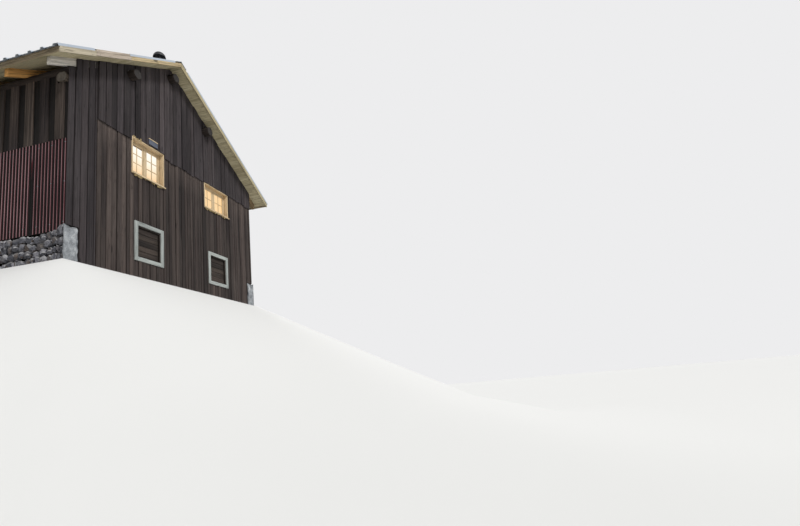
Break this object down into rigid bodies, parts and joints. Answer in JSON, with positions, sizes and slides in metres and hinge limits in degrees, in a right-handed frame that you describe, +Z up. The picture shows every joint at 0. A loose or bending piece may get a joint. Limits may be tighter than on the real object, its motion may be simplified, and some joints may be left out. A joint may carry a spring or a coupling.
{
  "type": "alpine chalet",
  "caption": "Timber alpine chalet with board-clad gables, rubble plinth, red corrugated wall sheets and a ribbed metal roof on rafters and log purlins.",
  "frame": {"origin": "centre of the overall box, on the level ground at the lowest point of the walls", "axes": "+Z up, the windowed gable faces -Y, the ridge runs along Y, the red sheeted long wall faces -X"},
  "size_m": [7.4278, 8.684, 6.4419],
  "materials": {
    "lime_render": "rough",
    "rubble_stone": "rough",
    "wall_timber": "sawn",
    "dark_log": "weathered",
    "floor_joist": "sawn",
    "floor_plank": "sawn",
    "gable_board": "weathered",
    "long_wall_board": "weathered",
    "red_sheet": "worn",
    "rafter_wood": "sawn",
    "soffit_board": "sawn",
    "batten_wood": "sawn",
    "roof_sheet": "satin",
    "ridge_metal": "satin",
    "bargeboard": "weathered",
    "fascia_board": "weathered",
    "window_timber": "oiled",
    "window_glass": "clear",
    "hatch_frame": "painted",
    "shutter_board": "weathered",
    "door_frame_wood": "weathered",
    "door_plank": "weathered",
    "plate_enamel": "dull",
    "chimney_render": "rough",
    "hood_metal": "dull"
  },
  "bodies": {
    "root": {"corner_piers": "lime_render", "left_plinth": "rubble_stone", "right_plinth": "rubble_stone", "front_wall": "wall_timber", "back_wall": "wall_timber", "left_wall": "wall_timber", "right_wall": "wall_timber", "front_gable_wall": "wall_timber", "back_gable_wall": "wall_timber", "front_tie_log": "dark_log", "back_tie_log": "dark_log", "floor_joists": "floor_joist", "upper_floor": "floor_plank", "front_boards_lower": "gable_board", "front_boards_upper": "gable_board", "back_boards_lower": "gable_board", "back_boards_upper": "gable_board", "left_boards": "long_wall_board", "left_cover_boards": "long_wall_board", "right_boards": "long_wall_board", "right_cover_boards": "long_wall_board", "red_sheets": "red_sheet", "ridge_purlin": "dark_log", "middle_purlins": "dark_log", "eave_purlins": "dark_log", "rafters_left": "rafter_wood", "rafters_right": "rafter_wood", "roof_boards_left": "soffit_board", "roof_boards_right": "soffit_board", "battens_left": "batten_wood", "battens_right": "batten_wood", "roof_metal_left": "roof_sheet", "roof_metal_right": "roof_sheet", "ridge_cap": "ridge_metal", "front_bargeboards": "bargeboard", "back_bargeboards": "bargeboard", "eave_fascias": "fascia_board", "verge_trims": "ridge_metal", "front_window_linings": "window_timber", "front_window_frames": "window_timber", "front_window_sashes": "window_timber", "front_window_glass": "window_glass", "back_window_linings": "window_timber", "back_window_frames": "window_timber", "back_window_sashes": "window_timber", "back_window_glass": "window_glass", "window_sills": "window_timber", "front_hatch_frames": "hatch_frame", "back_hatch_frames": "hatch_frame", "hatch_shutters": "shutter_board", "door_frame": "door_frame_wood", "door_leaf": "door_plank", "gable_plate": "plate_enamel", "chimney_stack": "chimney_render", "chimney_hood": "hood_metal"}
  },
  "joints": []
}
